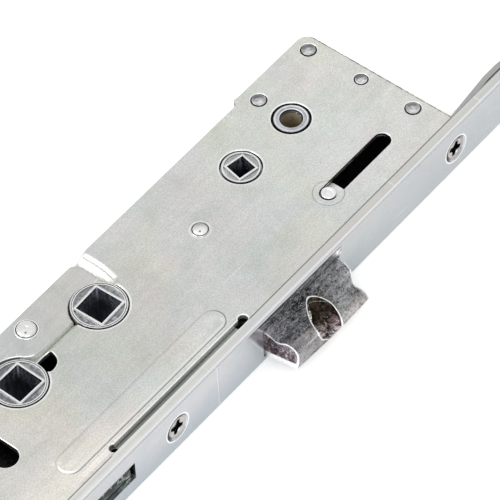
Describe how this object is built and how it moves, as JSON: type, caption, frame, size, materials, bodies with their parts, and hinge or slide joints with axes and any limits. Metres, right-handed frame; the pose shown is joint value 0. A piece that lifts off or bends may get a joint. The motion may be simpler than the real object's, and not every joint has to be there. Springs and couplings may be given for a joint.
{
  "type": "multipoint door lock",
  "caption": "Twin-spindle multipoint door lock: riveted gearbox with spring latch and deadbolt on a long faceplate, with swing hooks above and below driven by a sliding rail.",
  "frame": {"origin": "centre of the faceplate's front face, level with the upper spindle axis", "axes": "+X up the lock along the faceplate, -Y out of the faceplate's front, +Z out of the riveted cover, along the spindles"},
  "size_m": [0.6, 0.0604, 0.017],
  "materials": {
    "faceplate": "bright zinc plated, satin",
    "case_zinc": "pale galvanised sheet, faint mottling",
    "machined_steel": "zinc plated",
    "drive_steel": "plain steel, satin",
    "cast_zinc": "cast, bright",
    "cast_latch": "dark mottled casting",
    "bolt_steel": "dark passivated",
    "bush_metal": "dull, oiled",
    "spring_steel": "drawn wire"
  },
  "bodies": {
    "case": {"faceplate": "faceplate", "case_base": "case_zinc", "case_cover": "case_zinc", "cover_strap": "case_zinc", "case_rivets": "machined_steel", "dome_rivets": "machined_steel", "bolt_bush": "bush_metal", "faceplate_screws": "machined_steel", "idler_pin": "machined_steel", "top_box_base": "case_zinc", "top_box_cover": "case_zinc", "bottom_box_base": "case_zinc", "bottom_box_cover": "case_zinc", "box_rivets": "machined_steel", "hook_pivots": "machined_steel", "hook_spacers": "drive_steel", "latch_spring": "spring_steel", "link_spring": "spring_steel", "snib_detent": "spring_steel"},
    "drive": {"drive_slide": "drive_steel", "slide_pin": "machined_steel", "rail_top": "drive_steel", "rail_bottom": "drive_steel", "rail_rivets": "machined_steel", "hook_drive_pins": "machined_steel"},
    "upper_follower": {"upper_follower": "cast_zinc"},
    "idler": {"idler_pinion": "machined_steel"},
    "lower_follower": {"lower_follower": "cast_zinc"},
    "link": {"latch_link": "drive_steel"},
    "lever": {"latch_lever": "drive_steel"},
    "latch": {"latch_bolt": "cast_latch"},
    "deadbolt": {"deadbolt": "bolt_steel", "deadbolt_pin": "machined_steel"},
    "snib": {"snib_hub": "cast_zinc"},
    "top_hook": {"top_hook": "machined_steel"},
    "bottom_hook": {"bottom_hook": "machined_steel"}
  },
  "joints": [
    {"name": "drive_lift", "type": "slide", "parent": "case", "child": "drive", "axis": [1, 0, 0], "range_m": [0, 0.0209]},
    {"name": "upper_follower_turn", "type": "hinge", "parent": "case", "child": "upper_follower", "pos_m": [0, 0.035, 0], "axis": [0, 0, 1], "range_deg": [-60, 0]},
    {"name": "idler_turn", "type": "hinge", "parent": "case", "child": "idler", "pos_m": [0, 0.011, 0], "axis": [0, 0, 1], "range_deg": [0, 300]},
    {"name": "top_hook_swing", "type": "hinge", "parent": "case", "child": "top_hook", "pos_m": [0.215, 0.022, 0], "axis": [0, 0, 1], "range_deg": [0, 90]},
    {"name": "bottom_hook_swing", "type": "hinge", "parent": "case", "child": "bottom_hook", "pos_m": [-0.215, 0.022, 0], "axis": [0, 0, 1], "range_deg": [0, 90]},
    {"name": "lower_follower_turn", "type": "hinge", "parent": "case", "child": "lower_follower", "pos_m": [-0.03, 0.035, 0], "axis": [0, 0, 1], "range_deg": [0, 40], "stiffness_Nm_per_rad": 1.2, "springref_deg": -14.32, "deforming": ["latch_spring", "link_spring"]},
    {"name": "link_slide", "type": "slide", "parent": "case", "child": "link", "axis": [1, 0, 0], "range_m": [-0.0067, 0]},
    {"name": "lever_turn", "type": "hinge", "parent": "case", "child": "lever", "pos_m": [0.0332, 0.0303, 0], "axis": [0, 0, 1], "range_deg": [0, 42.4]},
    {"name": "latch_retract", "type": "slide", "parent": "case", "child": "latch", "axis": [0, 1, 0], "range_m": [0, 0.0101]},
    {"name": "deadbolt_throw", "type": "slide", "parent": "case", "child": "deadbolt", "axis": [0, -1, 0], "range_m": [0, 0.016]},
    {"name": "snib_turn", "type": "hinge", "parent": "case", "child": "snib", "pos_m": [0.055, 0.035, 0], "axis": [0, 0, 1], "range_deg": [0, 90]}
  ],
  "couplings": [
    {"joint": "upper_follower_turn", "follows": "drive_lift", "rad_per_m": -50},
    {"joint": "idler_turn", "follows": "drive_lift", "rad_per_m": 250},
    {"joint": "top_hook_swing", "follows": "drive_lift", "rad_per_m": 75.1},
    {"joint": "bottom_hook_swing", "follows": "drive_lift", "rad_per_m": 75.1},
    {"joint": "link_slide", "follows": "lower_follower_turn", "m_per_rad": -0.0095},
    {"joint": "lever_turn", "follows": "lower_follower_turn", "ratio": 1.0556},
    {"joint": "latch_retract", "follows": "lower_follower_turn", "m_per_rad": 0.014356}
  ]
}
